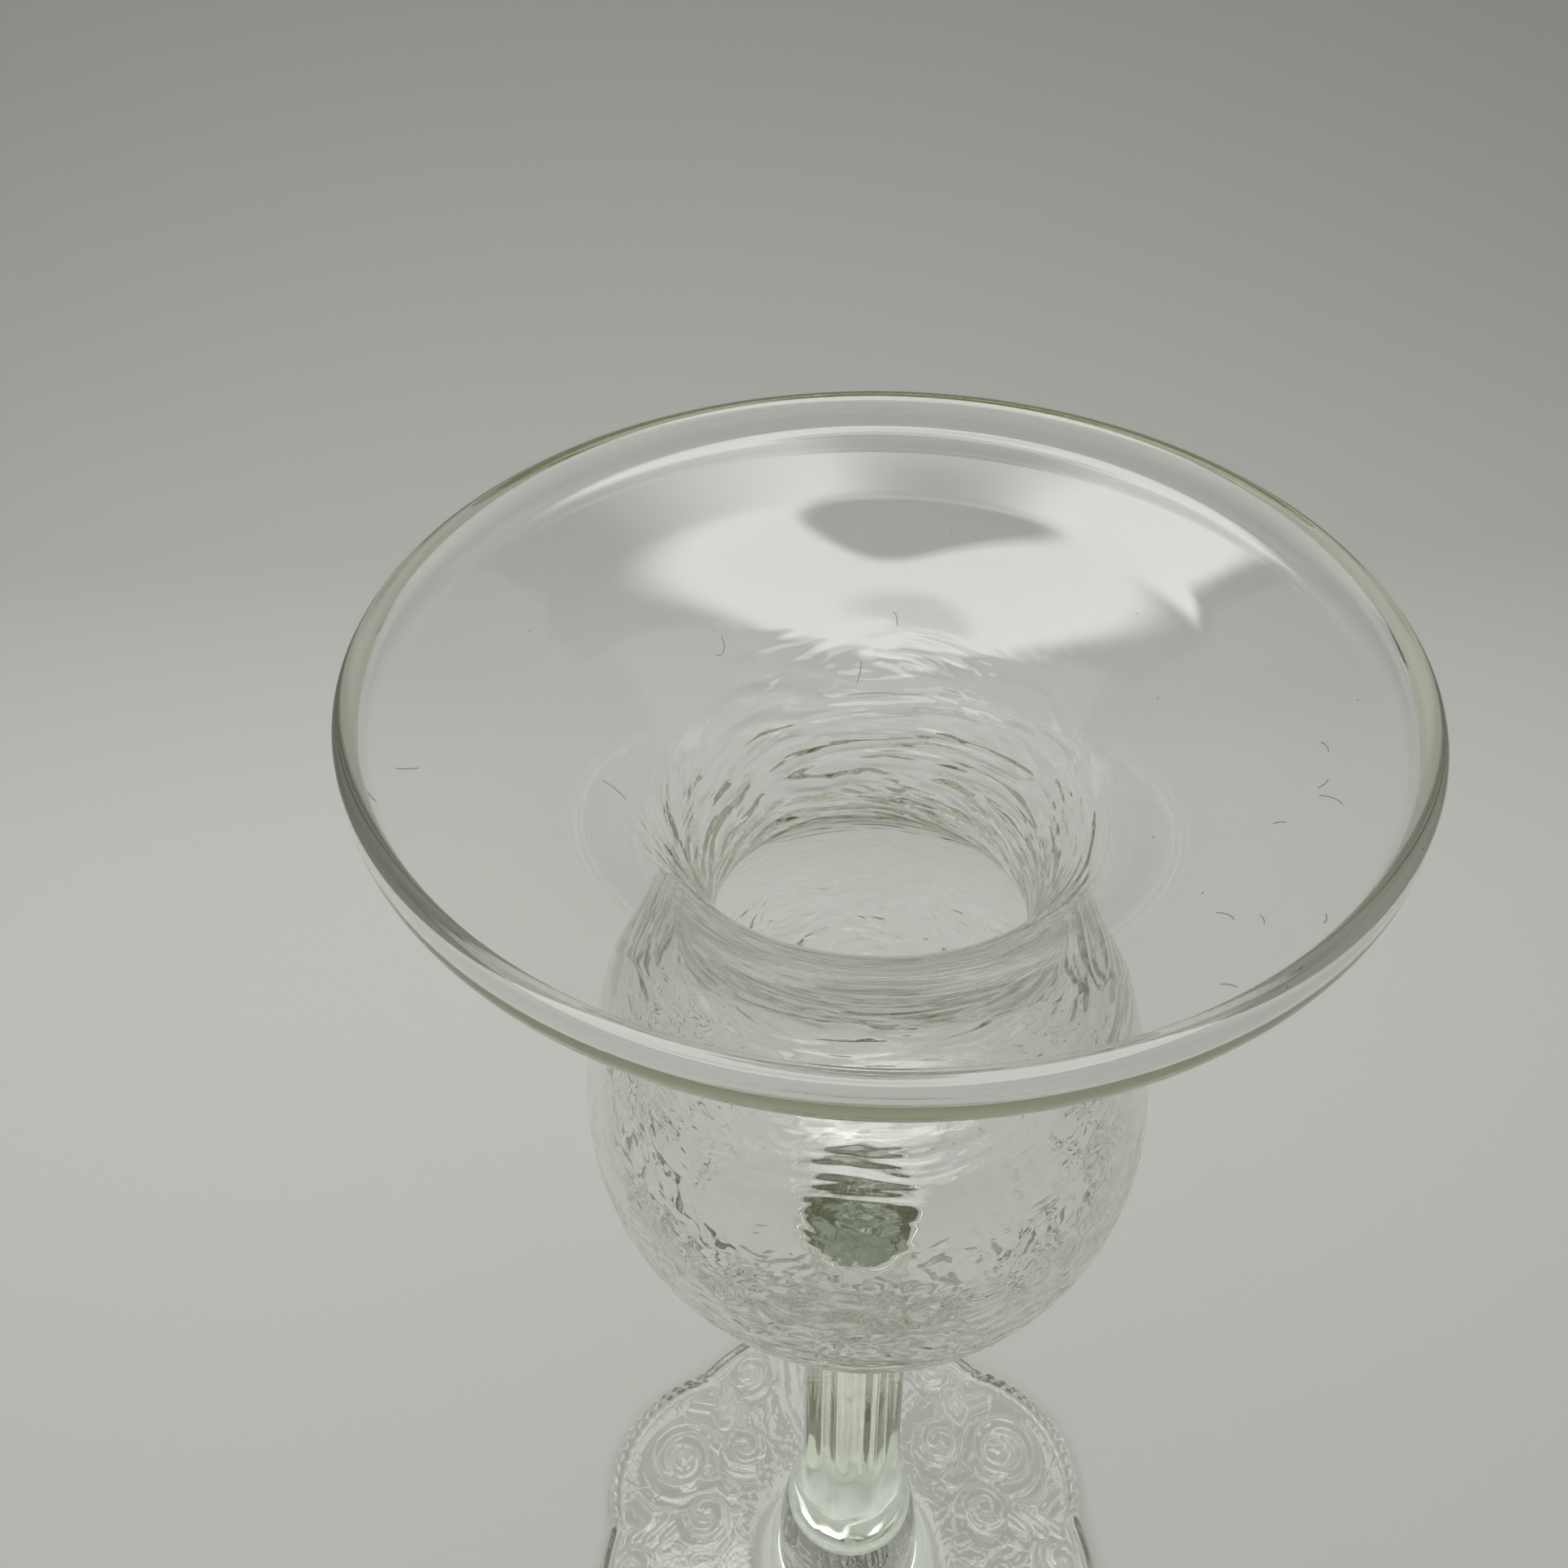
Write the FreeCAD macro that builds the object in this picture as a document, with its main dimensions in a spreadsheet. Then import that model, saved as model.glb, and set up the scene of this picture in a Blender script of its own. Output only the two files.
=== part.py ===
import FreeCAD, Part
import math
import os
import Sketcher

# Liqueur glass, one piece of clear glass: a thin blown bowl with a wide flared mouth, a narrow neck
# and a round bulb, on a solid fluted stem and a moulded, scalloped foot.
# Millimetres, +Z up. The origin is on the table, in the middle of the foot.

doc = FreeCAD.newDocument("liqueur_glass")

# Driving sizes
SIZES = [
    ("height", 126.0, "table to the top of the lip"),
    ("rim_radius", 27.5, "outermost edge of the mouth"),
    ("wall", 1.2, "thickness of the blown bowl"),
    ("lip_rise", 0.9, "upright part of the lip under its rounded edge"),
    ("lip_turn", 2.2, "outer radius where the lip turns up from the flare"),
    ("flare_slope", 17.0, "degrees that the outer flare falls inward"),
    ("flare_run", 4.65, "straight part of the outer flare, next to the lip"),
    ("neck_radius", 10.6, "outside of the neck"),
    ("neck_turn", 3.4, "outer radius between neck and bulb"),
    ("bulb_radius", 18.8, "outside of the round bulb"),
    ("stem_top_radius", 4.3, "stem just under the bulb"),
    ("stem_fillet", 1.6, "radius where the stem runs into the bulb"),
    ("stem_foot_radius", 4.8, "stem where the bell begins"),
    ("bell_top", 25.6, "height of the stem's lower end"),
    ("bell_radius", 7.2, "bell just above the foot"),
    ("bell_fillet", 4.0, "radius where the bell runs out onto the foot"),
    ("foot_edge", 1.9, "thickness of the foot at its edge"),
    ("foot_slope", 7.0, "degrees that the foot rises towards the bell"),
    ("foot_reach", 28.6, "axis to the tip of a scroll lobe"),
    ("fan_step", 0.8, "how much less a fan lobe reaches"),
    ("scroll_round", 0.4755, "outline radius of a scroll lobe, as part of its reach"),
    ("fan_round", 0.7914, "outline radius of a fan lobe, as part of its reach"),
    ("notch", 1.4, "radius of the notch between two lobes"),
    ("border_width", 1.7, "raised border round the foot"),
    ("border_rise", 0.9, "border's top above the height of the foot's edge"),
    ("border_flank", 0.5, "run of the border's sloped inner side"),
    ("border_bevel", 0.4, "bevel of the border's outer corners"),
    ("flute_count", 8.0, "flutes round the stem"),
    ("flute_radius", 3.2, "radius of a flute's hollow"),
    ("flute_depth", 0.4, "depth of a flute"),
    ("flute_land", 1.6, "stem left plain above and below the flutes"),
    ("crease_count", 7.0, "creases in a fan"),
    ("crease_radius", 0.9, "radius of a crease's hollow at its outer end"),
    ("crease_depth", 0.55, "depth of a crease at its outer end"),
    ("crease_spread", 31.0, "degrees from a fan's middle to its last crease, at the border"),
    ("crease_gap", 0.3, "plain strip between the creases and the border"),
    ("crease_land", 1.5, "plain strip between the bell and the creases"),
    ("fan_root", 0.54, "where a fan's creases would meet, as part of the bell's reach"),
    ("pearl_place", 0.66, "the pearl, as part of the way from the bell to the border"),
    ("pearl_size", 0.108, "pearl's radius, as part of that way"),
    ("pearl_sink", 0.6, "pearl's middle below the foot's upper face"),
    ("curl_size", 0.236, "large curl round the pearl, at the middle of its bar, as part of that way"),
    ("curl_sweep", 250.0, "degrees that a large curl goes round"),
    ("curl_turn", 20.0, "degrees that a large curl is turned from its lobe's middle"),
    ("curl_width", 1.3, "width of a curl's bar where it leaves the foot"),
    ("curl_flank", 0.35, "run of a curl's sloped sides"),
    ("curl_rise", 0.55, "top of a curl above the foot's upper face"),
    ("curl_sink", 0.4, "bottom of a curl below the foot's upper face"),
    ("small_curl_place", 0.27, "small curls beside the bell, as part of that way"),
    ("small_curl_size", 0.121, "small curl's radius, as part of that way"),
    ("small_curl_sweep", 270.0, "degrees that a small curl goes round"),
    ("small_curl_angle", 15.0, "degrees from a scroll lobe's middle to a small curl"),
]
sheet = doc.addObject("Spreadsheet::Sheet", "Sizes")
value = {}
for row, (name, number, note) in enumerate(SIZES, start=1):
    sheet.set("A%d" % row, name)
    sheet.set("B%d" % row, str(number))
    sheet.set("C%d" % row, note)
    sheet.setAlias("B%d" % row, name)
    value[name] = number
doc.recompute()

# The foot's pattern repeats three times, a scroll lobe and a fan lobe in each third
FULL_TURN = 360.0
QUARTER_TURN = FULL_TURN / 4
THIRDS = 3
THIRD = FULL_TURN / THIRDS
FIRST_SCROLL = 30.0
FIRST_FAN = FIRST_SCROLL + THIRD / 2
SPARE = 2.0

height = value["height"]
wall = value["wall"]
slope = math.radians(value["foot_slope"])
flare = math.radians(value["flare_slope"])


def point(x, y):
    return FreeCAD.Vector(x, y, 0)


def polar(radius, degrees):
    return point(radius * math.cos(math.radians(degrees)), radius * math.sin(math.radians(degrees)))


def arc(centre, radius, start, end):
    """Sketch arc that turns left, for the short way from start to end, or the right way at a half."""
    first = math.atan2(start.y - centre.y, start.x - centre.x)
    last = math.atan2(end.y - centre.y, end.x - centre.x)
    turns_left = (last - first) % (2 * math.pi) < math.pi
    if not turns_left:
        first, last = last, first
    if last < first:
        last += 2 * math.pi
    circle = Part.Circle(centre, FreeCAD.Vector(0, 0, 1), radius)
    return Part.ArcOfCircle(circle, first, last), turns_left


class Chain:
    """Closed outline in a sketch: lines and arcs, each joined to the one before it."""

    def __init__(self, sketch):
        self.sketch = sketch
        self.ends = []

    def line(self, start, end):
        index = self.sketch.addGeometry(Part.LineSegment(start, end), False)
        self.ends.append((index, 1, 2))
        return index

    def arc(self, centre, radius, start, end):
        curve, turns_left = arc(centre, radius, start, end)
        index = self.sketch.addGeometry(curve, False)
        self.ends.append((index, 1, 2) if turns_left else (index, 2, 1))
        return index

    def join(self, smooth):
        """Join each element to the next. smooth holds the elements that run on without a corner."""
        for here, after in zip(self.ends, self.ends[1:] + self.ends[:1]):
            kind = "Tangent" if here[0] in smooth else "Coincident"
            self.sketch.addConstraint(Sketcher.Constraint(kind, here[0], here[2], after[0], after[1]))

    def start(self, index):
        return next(first for element, first, last in self.ends if element == index)

    def end(self, index):
        return next(last for element, first, last in self.ends if element == index)


def bind(sketch, formula, *parts):
    """Add a driving constraint whose size comes from the sheet."""
    number = sketch.addConstraint(Sketcher.Constraint(*parts))
    sketch.setExpression("Constraints[%d]" % number, formula)


ORIGIN = (-1, 1)
X_AXIS = -1
Y_AXIS = -2
CENTRE = 3


def origin_plane(body, role):
    return next(item for item in body.Origin.OriginFeatures if item.Role == role)


def origin_axis(body, role):
    return next(item for item in body.Origin.OriginFeatures if item.Role == role)


def new_sketch(body, name, plane):
    sketch = body.newObject("Sketcher::SketchObject", name)
    sketch.AttachmentSupport = [(origin_plane(body, plane), "")]
    sketch.MapMode = "FlatFace"
    return sketch


# Section: where each arc of the bowl has its centre and where it meets the next
lip_centre = point(value["rim_radius"] - wall / 2, height - wall / 2)
turn_centre = point(value["rim_radius"] - value["lip_turn"], lip_centre.y - value["lip_rise"])
flare_normal = point(math.sin(flare), -math.cos(flare))
turn_end = turn_centre + flare_normal * value["lip_turn"]
flare_start = turn_end - point(math.cos(flare), math.sin(flare)) * value["flare_run"]
flare_radius = (flare_start.x - value["neck_radius"]) / (1 - math.sin(flare))
flare_centre = flare_start + flare_normal * flare_radius
neck_height = flare_centre.y
neck_centre = point(value["neck_radius"] + value["neck_turn"], neck_height)
bulb_step = value["bulb_radius"] + value["neck_turn"]
bulb_height = neck_height - math.sqrt(bulb_step ** 2 - neck_centre.x ** 2)
bulb_centre = point(0, bulb_height)
stem_centre_x = value["stem_top_radius"] + value["stem_fillet"]
stem_step = value["bulb_radius"] + value["stem_fillet"]
stem_top = bulb_height - math.sqrt(stem_step ** 2 - stem_centre_x ** 2)
stem_centre = point(stem_centre_x, stem_top)

# Section: bell and foot. The plate is turned larger than the foot and then trimmed to its lobes.
plate_radius = value["foot_reach"] + SPARE


def foot_top(radius):
    """Height of the foot's plain upper face at a distance from the axis."""
    return value["foot_edge"] + (value["foot_reach"] - radius) * math.tan(slope)


bell_centre_x = value["bell_radius"] + value["bell_fillet"]
bell_foot = foot_top(bell_centre_x) + value["bell_fillet"] / math.cos(slope)
bell_fillet_centre = point(bell_centre_x, bell_foot)
bell_drop = value["bell_top"] - bell_foot
bell_out = value["bell_radius"] - value["stem_foot_radius"]
bell_curve = (bell_out ** 2 + bell_drop ** 2) / (2 * bell_out)
bell_centre = point(value["bell_radius"] - bell_curve, bell_foot)


def turned_form(body):
    """Bowl, stem, bell and a round plate for the foot, turned about the axis."""
    sketch = new_sketch(body, "section", "XZ_Plane")
    chain = Chain(sketch)
    inner_bulb = value["bulb_radius"] - wall
    inner_neck = value["neck_turn"] + wall
    inner_flare = flare_radius + wall
    inner_turn = value["lip_turn"] - wall
    rim_out = point(value["rim_radius"], lip_centre.y)
    rim_in = point(value["rim_radius"] - wall, lip_centre.y)
    turn_start = point(value["rim_radius"], turn_centre.y)
    neck_side = point(value["neck_radius"], neck_height)
    bulb_top = bulb_centre + (neck_centre - bulb_centre) * (value["bulb_radius"] / bulb_step)
    bulb_foot = bulb_centre + (stem_centre - bulb_centre) * (value["bulb_radius"] / stem_step)
    stem_start = point(value["stem_top_radius"], stem_top)
    stem_end = point(value["stem_foot_radius"], value["bell_top"])
    bell_side = point(value["bell_radius"], bell_foot)
    plate_start = bell_fillet_centre - point(math.sin(slope), math.cos(slope)) * value["bell_fillet"]
    plate_edge = point(plate_radius, foot_top(plate_radius))
    plate_base = point(plate_radius, 0)
    base_middle = point(0, 0)
    cup_bottom = point(0, bulb_height - inner_bulb)
    inner_top = bulb_centre + (neck_centre - bulb_centre) * (inner_bulb / bulb_step)
    inner_side = point(value["neck_radius"] - wall, neck_height)
    inner_start = flare_centre - flare_normal * inner_flare
    inner_end = turn_centre + flare_normal * inner_turn
    inner_rise = point(value["rim_radius"] - wall, turn_centre.y)

    lip = chain.arc(lip_centre, wall / 2, rim_in, rim_out)
    rise = chain.line(rim_out, turn_start)
    turn = chain.arc(turn_centre, value["lip_turn"], turn_start, turn_end)
    fall = chain.line(turn_end, flare_start)
    flare_arc = chain.arc(flare_centre, flare_radius, flare_start, neck_side)
    neck = chain.arc(neck_centre, value["neck_turn"], neck_side, bulb_top)
    bulb = chain.arc(bulb_centre, value["bulb_radius"], bulb_top, bulb_foot)
    fillet = chain.arc(stem_centre, value["stem_fillet"], bulb_foot, stem_start)
    stem = chain.line(stem_start, stem_end)
    bell = chain.arc(bell_centre, bell_curve, stem_end, bell_side)
    bell_fillet = chain.arc(bell_fillet_centre, value["bell_fillet"], bell_side, plate_start)
    plate = chain.line(plate_start, plate_edge)
    edge = chain.line(plate_edge, plate_base)
    base = chain.line(plate_base, base_middle)
    axis = chain.line(base_middle, cup_bottom)
    bulb_in = chain.arc(bulb_centre, inner_bulb, cup_bottom, inner_top)
    neck_in = chain.arc(neck_centre, inner_neck, inner_top, inner_side)
    flare_in = chain.arc(flare_centre, inner_flare, inner_side, inner_start)
    fall_in = chain.line(inner_start, inner_end)
    turn_in = chain.arc(turn_centre, inner_turn, inner_end, inner_rise)
    rise_in = chain.line(inner_rise, rim_in)
    corners = {fillet, stem, plate, edge, base, axis}
    chain.join({index for index, first, last in chain.ends} - corners)

    for index in (rise, edge, axis, rise_in):
        sketch.addConstraint(Sketcher.Constraint("Vertical", index))
    sketch.addConstraint(Sketcher.Constraint("Horizontal", base))
    for inner, outer in ((bulb_in, bulb), (neck_in, neck), (flare_in, flare_arc), (turn_in, turn)):
        sketch.addConstraint(Sketcher.Constraint("Coincident", inner, CENTRE, outer, CENTRE))
    sketch.addConstraint(Sketcher.Constraint("Coincident", base, chain.end(base), *ORIGIN))
    bind(sketch, "Sizes.rim_radius", "DistanceX", *ORIGIN, rise, 1, value["rim_radius"])
    bind(sketch, "Sizes.height - Sizes.wall / 2", "DistanceY", *ORIGIN, lip, CENTRE, lip_centre.y)
    bind(sketch, "Sizes.wall / 2", "Radius", lip, wall / 2)
    bind(sketch, "Sizes.lip_rise", "DistanceY", rise, 2, rise, 1, value["lip_rise"])
    bind(sketch, "Sizes.lip_turn", "Radius", turn, value["lip_turn"])
    bind(sketch, "Sizes.flare_slope", "Angle", X_AXIS, 1, fall, 2, flare)
    bind(sketch, "Sizes.flare_run", "Distance", fall, value["flare_run"])
    bind(sketch, "Sizes.neck_radius", "DistanceX", *ORIGIN, neck, chain.start(neck), neck_side.x)
    sketch.addConstraint(Sketcher.Constraint("Horizontal", neck, CENTRE, flare_arc, CENTRE))
    bind(sketch, "Sizes.neck_turn", "Radius", neck, value["neck_turn"])
    bind(sketch, "Sizes.bulb_radius", "Radius", bulb, value["bulb_radius"])
    sketch.addConstraint(Sketcher.Constraint("PointOnObject", bulb, CENTRE, Y_AXIS))
    bind(sketch, "Sizes.stem_fillet", "Radius", fillet, value["stem_fillet"])
    bind(sketch, "Sizes.stem_top_radius", "DistanceX", *ORIGIN, stem, 1, stem_start.x)
    sketch.addConstraint(Sketcher.Constraint("Horizontal", stem, 1, fillet, CENTRE))
    bind(sketch, "Sizes.stem_foot_radius", "DistanceX", *ORIGIN, stem, 2, stem_end.x)
    bind(sketch, "Sizes.bell_top", "DistanceY", *ORIGIN, stem, 2, stem_end.y)
    bind(sketch, "Sizes.bell_radius", "DistanceX", *ORIGIN, bell, chain.end(bell), bell_side.x)
    sketch.addConstraint(Sketcher.Constraint("Horizontal", bell, chain.end(bell), bell, CENTRE))
    bind(sketch, "Sizes.bell_fillet", "Radius", bell_fillet, value["bell_fillet"])
    bind(sketch, "Sizes.foot_slope", "Angle", plate, 2, X_AXIS, 2, slope)
    bind(sketch, "Sizes.foot_reach + %g" % SPARE, "DistanceX", *ORIGIN, edge, 2, plate_radius)
    rim = "Sizes.foot_edge - %g * tan(Sizes.foot_slope)" % SPARE
    bind(sketch, rim, "DistanceY", edge, 2, edge, 1, plate_edge.y)
    bind(sketch, "Sizes.bulb_radius - Sizes.wall", "Radius", bulb_in, inner_bulb)
    measured = sketch.addConstraint(Sketcher.Constraint("DistanceY", *ORIGIN, stem, 1, stem_top))
    sketch.setDriving(measured, False)
    sketch.renameConstraint(measured, "stem_top")
    return sketch


FAN_REACH = "(Sizes.foot_reach - Sizes.fan_step)"
REACHES = {"scroll": ("Sizes.foot_reach", value["foot_reach"]),
           "fan": (FAN_REACH, value["foot_reach"] - value["fan_step"])}
fan_reach = REACHES["fan"][1]
fan_lobe = fan_reach * value["fan_round"]


def lobes():
    """Centre, outline radius, kind and direction of each lobe, from the first fan lobe on."""
    found = []
    for number in range(2 * THIRDS):
        kind = "scroll" if number % 2 else "fan"
        direction = FIRST_FAN + number * THIRD / 2
        reach = REACHES[kind][1]
        radius = reach * value[kind + "_round"]
        found.append((polar(reach - radius, direction), radius, kind, direction))
    return found


def foot_outline(body):
    """Line along the middle of the foot's border, from the tip of the first fan lobe."""
    sketch = new_sketch(body, "foot_outline", "XY_Plane")
    chain = Chain(sketch)
    half = value["border_width"] / 2
    around = lobes()
    notches = [notch_centre(here, after) for here, after in zip(around, around[1:] + around[:1])]
    tip = polar(fan_reach - half, FIRST_FAN)
    start = tip
    for number, (centre, radius, kind, direction) in enumerate(around):
        leave = touch(centre, radius - half, notches[number])
        lobe = chain.arc(centre, radius - half, start, leave)
        reach = REACHES[kind][0]
        bind(sketch, "%s * Sizes.%s_round - Sizes.border_width / 2" % (reach, kind), "Radius", lobe,
             radius - half)
        for axis, place, turn in (("X", centre.x, "cos"), ("Y", centre.y, "sin")):
            formula = "%s * (1 - Sizes.%s_round) * %s(%g)" % (reach, kind, turn, direction)
            bind(sketch, formula, "Distance" + axis, *ORIGIN, lobe, CENTRE, place)
        after = around[(number + 1) % len(around)]
        start = touch(after[0], after[1] - half, notches[number])
        notch = chain.arc(notches[number], value["notch"] + half, leave, start)
        bind(sketch, "Sizes.notch + Sizes.border_width / 2", "Radius", notch, value["notch"] + half)
    first = chain.ends[0][0]
    last = chain.arc(around[0][0], around[0][1] - half, start, tip)
    chain.join({index for index, begin, end in chain.ends} - {last})
    sketch.addConstraint(Sketcher.Constraint("Coincident", last, CENTRE, first, CENTRE))
    sketch.addConstraint(Sketcher.Constraint("PointOnObject", first, chain.start(first), Y_AXIS))
    return sketch, ["Edge%d" % (index + 1) for index, begin, end in chain.ends]


def border_section(body):
    """Section through the foot's border at the tip of the first fan lobe."""
    sketch = new_sketch(body, "border_section", "YZ_Plane")
    chain = Chain(sketch)
    outside = fan_reach
    inside = outside - value["border_width"]
    bevel = value["border_bevel"]
    edge = value["foot_edge"]
    top = edge + value["border_rise"]
    corners = [
        point(inside, 0), point(outside - bevel, 0), point(outside, bevel), point(outside, top - bevel),
        point(outside - bevel, top), point(inside + value["border_flank"], top), point(inside, edge),
    ]
    sides = [chain.line(here, after) for here, after in zip(corners, corners[1:] + corners[:1])]
    base, low_bevel, wall_side, high_bevel, crown, flank, inner_side = sides
    chain.join(set())
    for index in (base, crown):
        sketch.addConstraint(Sketcher.Constraint("Horizontal", index))
    for index in (wall_side, inner_side):
        sketch.addConstraint(Sketcher.Constraint("Vertical", index))
    sketch.addConstraint(Sketcher.Constraint("PointOnObject", base, 1, X_AXIS))
    bind(sketch, FAN_REACH + " - Sizes.border_width", "DistanceX", *ORIGIN, base, 1, inside)
    bind(sketch, FAN_REACH, "DistanceX", *ORIGIN, wall_side, 1, outside)
    bind(sketch, "Sizes.foot_edge + Sizes.border_rise", "DistanceY", *ORIGIN, crown, 1, top)
    bind(sketch, "Sizes.foot_edge", "DistanceY", *ORIGIN, inner_side, 1, edge)
    bind(sketch, "Sizes.border_flank", "DistanceX", flank, 2, flank, 1, value["border_flank"])
    bind(sketch, "Sizes.border_bevel", "DistanceX", low_bevel, 1, low_bevel, 2, bevel)
    bind(sketch, "Sizes.border_bevel", "DistanceY", low_bevel, 1, low_bevel, 2, bevel)
    bind(sketch, "Sizes.border_bevel", "DistanceX", high_bevel, 2, high_bevel, 1, bevel)
    bind(sketch, "Sizes.border_bevel", "DistanceY", high_bevel, 1, high_bevel, 2, bevel)
    return sketch


def notch_centre(here, after):
    """Centre of the small arc that joins two lobes from outside."""
    first, second = here[1] + value["notch"], after[1] + value["notch"]
    across = after[0] - here[0]
    gap = across.Length
    along = (gap ** 2 + first ** 2 - second ** 2) / (2 * gap)
    side = math.sqrt(first ** 2 - along ** 2)
    unit = across / gap
    outward = point(unit.y, -unit.x)
    return here[0] + unit * along + outward * side


def touch(centre, radius, notch):
    """Point where a lobe's arc meets the notch's arc."""
    return centre + (notch - centre).normalize() * radius


def stem_radius(level):
    """Radius of the plain stem at a height."""
    share = (level - value["bell_top"]) / (stem_top - value["bell_top"])
    return value["stem_foot_radius"] + share * (value["stem_top_radius"] - value["stem_foot_radius"])


def flute_profile(body):
    """Half of a long round-ended hollow, to be turned about its own straight side."""
    sketch = new_sketch(body, "flute_section", "XZ_Plane")
    chain = Chain(sketch)
    radius = value["flute_radius"]
    clear = radius - value["flute_depth"]
    low_height = value["bell_top"] + value["flute_land"] + radius
    high_height = stem_top - value["flute_land"] - radius
    low = point(stem_radius(low_height) + clear, low_height)
    high = point(stem_radius(high_height) + clear, high_height)
    along = (high - low).normalize()
    inward = point(-along.y, along.x)
    low_end, high_end = low - along * radius, high + along * radius
    side = chain.line(low_end, high_end)
    top = chain.arc(high, radius, high_end, high + inward * radius)
    face = chain.line(high + inward * radius, low + inward * radius)
    foot = chain.arc(low, radius, low + inward * radius, low_end)
    chain.join({top, face})
    for index in (top, foot):
        sketch.addConstraint(Sketcher.Constraint("PointOnObject", index, CENTRE, side))
        bind(sketch, "Sizes.flute_radius", "Radius", index, radius)
    stem_end = "section.Constraints.stem_top / 1 mm"
    levels = {
        foot: ("(Sizes.bell_top + Sizes.flute_land + Sizes.flute_radius)", low),
        top: ("(%s - Sizes.flute_land - Sizes.flute_radius)" % stem_end, high),
    }
    for index, (level, place) in levels.items():
        share = "(%s - Sizes.bell_top) / (%s - Sizes.bell_top)" % (level, stem_end)
        taper = "%s * (Sizes.stem_top_radius - Sizes.stem_foot_radius)" % share
        reach = "Sizes.stem_foot_radius + %s + Sizes.flute_radius - Sizes.flute_depth" % taper
        bind(sketch, reach, "DistanceX", *ORIGIN, index, CENTRE, place.x)
        bind(sketch, level, "DistanceY", *ORIGIN, index, CENTRE, place.y)
    return sketch, side


# Relief on the foot
def surface(place, raised):
    """Place above the foot's plain upper face, raised along Z."""
    return FreeCAD.Vector(place.x, place.y, foot_top(place.Length) + raised)


def primitive(kind, name, sizes, base, rotation):
    item = doc.addObject(kind, name)
    for size, formula in sizes.items():
        if isinstance(formula, str):
            item.setExpression(size, formula)
        else:
            setattr(item, size, formula)
    item.Placement = FreeCAD.Placement(base, rotation)
    return item


UP = FreeCAD.Vector(0, 0, 1)
ACROSS = FreeCAD.Vector(0, 1, 0)


def lie_on_foot(direction, turn=0.0):
    """Rotation from flat to lying on the foot's slope, at a direction from the axis."""
    return (FreeCAD.Rotation(UP, direction) * FreeCAD.Rotation(ACROSS, value["foot_slope"])
            * FreeCAD.Rotation(UP, turn - direction))


def fan_creases(direction, label):
    """Creases of one fan, which spread from near the bell to the bead."""
    items = []
    count = int(value["crease_count"])
    root = polar(value["fan_root"] * bell_centre_x, direction)
    centre = polar(fan_reach - fan_lobe, direction)
    inner = fan_lobe - value["border_width"] - value["crease_gap"]
    for number in range(count):
        spread = value["crease_spread"] * (2 * number / (count - 1) - 1)
        ray = polar(1.0, direction + spread)
        along = ray.dot(centre)
        reach = along + math.sqrt(along ** 2 - centre.dot(centre) + inner ** 2)
        end = ray * reach
        length = end - root
        along = root.dot(length) / length.Length
        begin = bell_centre_x + value["crease_land"]
        share = (math.sqrt(along ** 2 - root.dot(root) + begin ** 2) - along) / length.Length
        lift = value["crease_radius"] - value["crease_depth"]
        low = surface(root + length * share, lift * share)
        high = surface(end, lift)
        sizes = {"Radius1": "Sizes.crease_radius * %g" % share, "Radius2": "Sizes.crease_radius",
                 "Height": (high - low).Length}
        items.append(primitive("Part::Cone", "crease_%s_%d" % (label, number + 1), sizes, low,
                               FreeCAD.Rotation(UP, high - low)))
    return items


FOOT_ROOM = "(Sizes.foot_reach - Sizes.border_width - Sizes.bell_radius - Sizes.bell_fillet)"
foot_room = value["foot_reach"] - value["border_width"] - bell_centre_x


def across_foot(share, direction):
    """Point that lies a share of the way from the bell to the border."""
    return polar(bell_centre_x + share * foot_room, direction)


def curl(name, size, sweep, place, rotation):
    """Raised bar with sloped sides, bent round a place on the foot."""
    base = surface(place, -value["curl_sink"])
    cones = []
    for side, foot, lean in (("outer", "+", "-"), ("inner", "-", "+")):
        widest = "%s * Sizes.%s %s Sizes.curl_width / 2" % (FOOT_ROOM, size, foot)
        sizes = {"Radius1": widest, "Radius2": "%s %s Sizes.curl_flank" % (widest, lean),
                 "Height": "Sizes.curl_rise + Sizes.curl_sink"}
        if side == "outer":
            sizes["Angle"] = "Sizes." + sweep
        cones.append(primitive("Part::Cone", "%s_%s" % (name, side), sizes, base, rotation))
    bar = doc.addObject("Part::Cut", name)
    bar.Base, bar.Tool = cones
    return bar


def scroll_relief(direction, label):
    """Pearl and curls of one scroll lobe."""
    middle = across_foot(value["pearl_place"], direction)
    pearl = primitive("Part::Sphere", "pearl_%s" % label, {"Radius": FOOT_ROOM + " * Sizes.pearl_size"},
                      surface(middle, -value["pearl_sink"]), FreeCAD.Rotation())
    large = curl("curl_%s" % label, "curl_size", "curl_sweep", middle,
                 lie_on_foot(direction, direction - value["curl_turn"]))
    items = [pearl, large]
    for side, name in ((1, "left"), (-1, "right")):
        bearing = direction + side * value["small_curl_angle"]
        turn = bearing - QUARTER_TURN * (1 if side > 0 else 2)
        place = across_foot(value["small_curl_place"], bearing)
        items.append(curl("small_curl_%s_%s" % (name, label), "small_curl_size", "small_curl_sweep",
                          place, lie_on_foot(bearing, turn)))
    return items


# Bowl, stem, bell and a round plate, turned in one
body = doc.addObject("PartDesign::Body", "turned_glass")
section = turned_form(body)
turned = body.newObject("PartDesign::Revolution", "turned")
turned.Profile = section
turned.ReferenceAxis = (section, ["V_Axis"])
turned.Angle = FULL_TURN
doc.recompute()

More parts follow.
